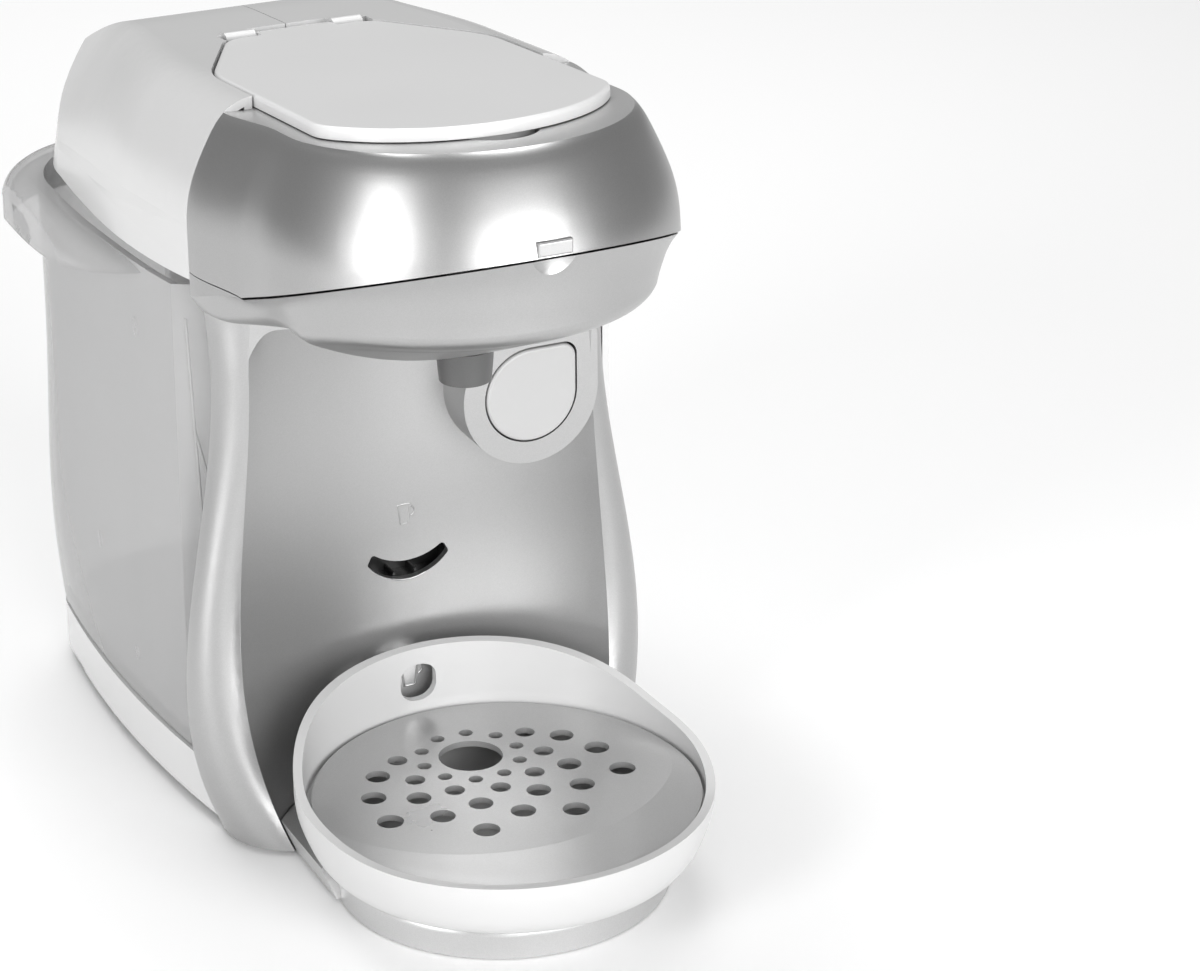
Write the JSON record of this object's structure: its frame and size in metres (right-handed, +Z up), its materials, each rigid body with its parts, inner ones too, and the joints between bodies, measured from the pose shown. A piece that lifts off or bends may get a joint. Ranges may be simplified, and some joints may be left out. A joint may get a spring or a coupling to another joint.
{
  "type": "toy coffee maker",
  "caption": "Toy coffee maker that pumps water: hinged lid over a pod seat, push-button pump, lift-off water tank, and a drip tray with bowl and grille.",
  "frame": {"origin": "on the floor under the middle of the footprint", "axes": "+Z up, -Y to the front where the cup stands, +X to the right seen from the front"},
  "size_m": [0.1415, 0.2843, 0.2215],
  "materials": {
    "white_plastic": "gloss",
    "silver_plastic": "satin, metallic paint look",
    "dark_plastic": "matte",
    "inner_plastic": "matte",
    "clear_plastic": "clear, slightly frosted",
    "hose_plastic": "soft, milky",
    "seal_rubber": "matte",
    "spring_steel": "drawn",
    "foot_rubber": "matte",
    "screw_steel": "plated"
  },
  "bodies": {
    "housing": {"head_cover": "silver_plastic", "front_housing": "silver_plastic", "housing_right": "white_plastic", "housing_left": "white_plastic", "housing_screws": "screw_steel", "hinge_pin": "screw_steel", "pod_seat": "dark_plastic", "spout": "silver_plastic", "pump_cylinder": "inner_plastic", "return_spring": "spring_steel", "outlet_valve": "inner_plastic", "inlet_valve": "inner_plastic", "valve_balls": "screw_steel", "inlet_hose": "hose_plastic", "outlet_hose": "hose_plastic", "tank_socket": "inner_plastic", "tank_seal": "seal_rubber", "base": "white_plastic", "bottom_plate": "dark_plastic", "rubber_feet": "foot_rubber", "base_screws": "screw_steel", "slot_insert": "dark_plastic"},
    "lid": {"lid": "white_plastic"},
    "button": {"button": "white_plastic", "pump_piston": "inner_plastic", "piston_seal": "seal_rubber"},
    "water_tank": {"water_tank": "clear_plastic"},
    "tray_support": {"tray_support": "silver_plastic"},
    "drip_bowl": {"drip_bowl": "white_plastic"},
    "drip_grille": {"drip_grille": "silver_plastic"}
  },
  "joints": [
    {"name": "lid_hinge", "type": "hinge", "parent": "housing", "child": "lid", "pos_m": [0, 0.061, 0.2025], "axis": [-1, 0, 0], "range_deg": [0, 95]},
    {"name": "button_press", "type": "slide", "parent": "housing", "child": "button", "axis": [0, 1, 0], "range_m": [0, 0.0045], "stiffness_N_per_m": 400, "springref_m": -0.008, "deforming": ["return_spring"]},
    {"name": "tank_pull_off", "type": "slide", "parent": "housing", "child": "water_tank", "axis": [-1, 0, 0], "range_m": [0, 0.075]},
    {"name": "tray_unhook", "type": "slide", "parent": "housing", "child": "tray_support", "axis": [0, -1, 0], "range_m": [0, 0.045]},
    {"name": "bowl_lift", "type": "slide", "parent": "tray_support", "child": "drip_bowl", "axis": [0, 0, 1], "range_m": [0, 0.035]},
    {"name": "grille_lift", "type": "slide", "parent": "drip_bowl", "child": "drip_grille", "axis": [0, 0, 1], "range_m": [0, 0.035]}
  ]
}
